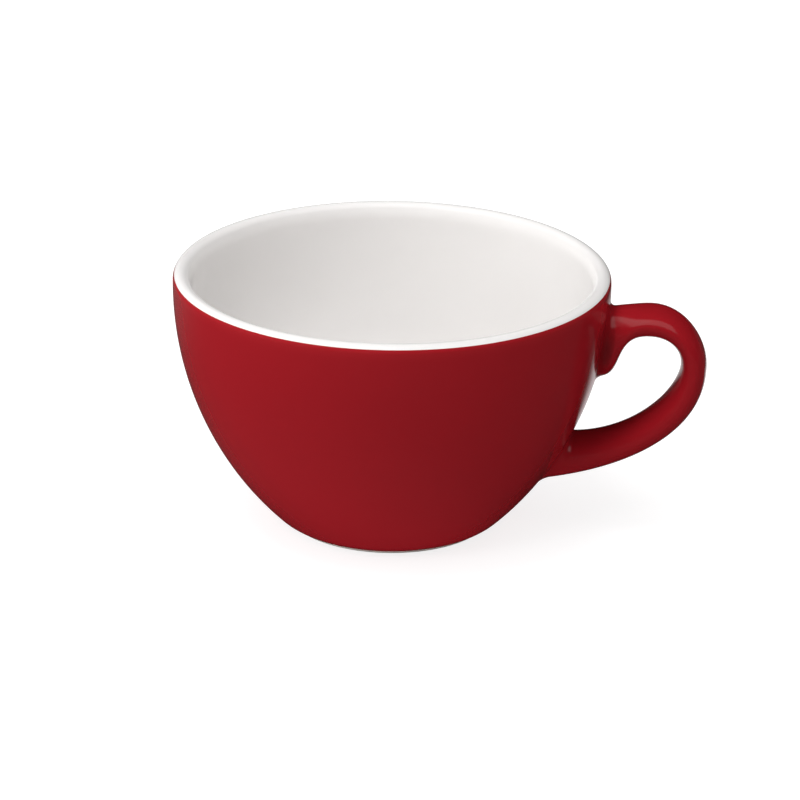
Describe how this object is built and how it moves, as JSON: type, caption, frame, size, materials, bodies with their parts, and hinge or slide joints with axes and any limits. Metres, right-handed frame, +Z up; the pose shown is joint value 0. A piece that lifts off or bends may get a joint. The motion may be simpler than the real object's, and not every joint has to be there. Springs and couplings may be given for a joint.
{
  "type": "flat white cup",
  "caption": "Low wide coffee cup: rounded rim, sides curving in to a small bare foot ring, and a looped strap handle with a spur under its upper joint; white glaze inside, red outside.",
  "frame": {"origin": "on the bowl's axis, in the plane of the foot ring's flat face, which is the table", "axes": "+Z up along the bowl's axis, +X out along the handle, +Y to complete a right-handed frame; the part is mirrored about the XZ plane"},
  "size_m": [0.1077, 0.088, 0.053],
  "materials": {
    "porcelain": "matte",
    "slip": "matte",
    "white_glaze": "gloss",
    "red_glaze": "gloss"
  },
  "bodies": {
    "root": {"bowl": "porcelain", "handle": "porcelain", "upper_slip_joint": "slip", "lower_slip_joint": "slip", "liner_glaze": "white_glaze", "outer_glaze": "red_glaze", "handle_glaze": "red_glaze", "base_glaze": "red_glaze"}
  },
  "joints": []
}
